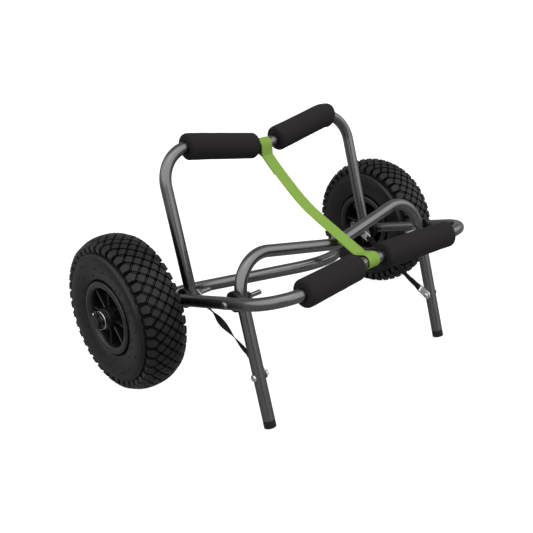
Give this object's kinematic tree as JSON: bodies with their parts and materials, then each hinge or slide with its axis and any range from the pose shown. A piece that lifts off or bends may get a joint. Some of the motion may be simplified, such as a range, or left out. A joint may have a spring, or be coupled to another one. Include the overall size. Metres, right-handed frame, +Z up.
{
  "type": "kayak cart",
  "caption": "Two-wheeled folding cart for a kayak: bent tube frame with foam-covered cradle bars, a fold-down stand, an axle with pinned pneumatic wheels and webbing straps",
  "frame": {"origin": "on the ground, under the centre of the cart's outline", "axes": "+X along the axle to the cart's right-hand wheel, -Y forward past the stand and the front bar, +Z up"},
  "size_m": [0.734, 0.4244, 0.394],
  "materials": {
    "tube_grey": "satin, dark grey anodised",
    "foam_black": "matt closed-cell foam",
    "webbing_green": "woven webbing",
    "webbing_black": "woven webbing",
    "tyre_rubber": "matt moulded rubber",
    "tube_rubber": "smooth rubber",
    "rim_plastic": "satin moulded plastic",
    "black_plastic": "satin",
    "bright_steel": "zinc plated"
  },
  "bodies": {
    "chassis": {"front_cradle_tube": "tube_grey", "axle_tube": "tube_grey", "front_pad_left": "foam_black", "front_pad_right": "foam_black", "cradle_strap": "webbing_green", "limit_strap_left": "webbing_black", "limit_strap_right": "webbing_black", "rear_saddle_left": "black_plastic", "rear_saddle_right": "black_plastic", "stand_saddle_left": "black_plastic", "stand_saddle_right": "black_plastic", "rear_pivot_bolt_left": "bright_steel", "rear_pivot_bolt_right": "bright_steel", "rear_pivot_nut_left": "bright_steel", "rear_pivot_nut_right": "bright_steel", "stand_pivot_bolt_left": "bright_steel", "stand_pivot_bolt_right": "bright_steel", "stand_pivot_nut_left": "bright_steel", "stand_pivot_nut_right": "bright_steel", "limit_tab_upper_left": "bright_steel", "limit_tab_upper_right": "bright_steel", "axle_collar_left": "black_plastic", "axle_collar_right": "black_plastic", "axle_washer_left": "black_plastic", "axle_washer_right": "black_plastic", "axle_cap_left": "black_plastic", "axle_cap_right": "black_plastic", "lock_pin_left": "bright_steel", "lock_pin_right": "bright_steel"},
    "rear_cradle": {"rear_cradle_tube": "tube_grey", "rear_pad_left": "foam_black", "rear_pad_right": "foam_black", "rear_leg_plug_left": "black_plastic", "rear_leg_plug_right": "black_plastic"},
    "stand": {"stand_tube": "tube_grey", "leg_bolt_left": "bright_steel", "leg_bolt_right": "bright_steel", "leg_nut_left": "bright_steel", "leg_nut_right": "bright_steel", "limit_tab_lower_left": "bright_steel", "limit_tab_lower_right": "bright_steel", "foot_cap_left": "black_plastic", "foot_cap_right": "black_plastic"},
    "wheel_left": {"tyre_left": "tyre_rubber", "inner_tube_left": "tube_rubber", "rim_left": "rim_plastic", "hub_bush_outer_left": "black_plastic", "hub_bush_inner_left": "black_plastic"},
    "bow_left": {"lock_bow_left": "bright_steel"},
    "wheel_right": {"tyre_right": "tyre_rubber", "inner_tube_right": "tube_rubber", "rim_right": "rim_plastic", "hub_bush_outer_right": "black_plastic", "hub_bush_inner_right": "black_plastic"},
    "bow_right": {"lock_bow_right": "bright_steel"}
  },
  "joints": [
    {"name": "rear_cradle_fold", "type": "hinge", "parent": "chassis", "child": "rear_cradle", "pos_m": [0, 0.02733, 0.15124], "axis": [1, 0, 0], "range_deg": [0, 62], "deforming": ["cradle_strap"]},
    {"name": "stand_fold", "type": "hinge", "parent": "chassis", "child": "stand", "pos_m": [0, -0.09768, 0.19948], "axis": [1, 0, 0], "range_deg": [0, 72], "deforming": ["limit_strap_left", "limit_strap_right"]},
    {"name": "wheel_left_spin", "type": "hinge", "parent": "chassis", "child": "wheel_left", "pos_m": [-0.3085, 0.08238, 0.13], "axis": [1, 0, 0], "continuous": true},
    {"name": "wheel_right_spin", "type": "hinge", "parent": "chassis", "child": "wheel_right", "pos_m": [0.3085, 0.08238, 0.13], "axis": [1, 0, 0], "continuous": true},
    {"name": "bow_left_swing", "type": "hinge", "parent": "chassis", "child": "bow_left", "pos_m": [-0.359, 0.09124, 0.14135], "axis": [-1, 0, 0], "range_deg": [0, 100]},
    {"name": "bow_right_swing", "type": "hinge", "parent": "chassis", "child": "bow_right", "pos_m": [0.359, 0.09124, 0.14135], "axis": [-1, 0, 0], "range_deg": [0, 100]}
  ]
}
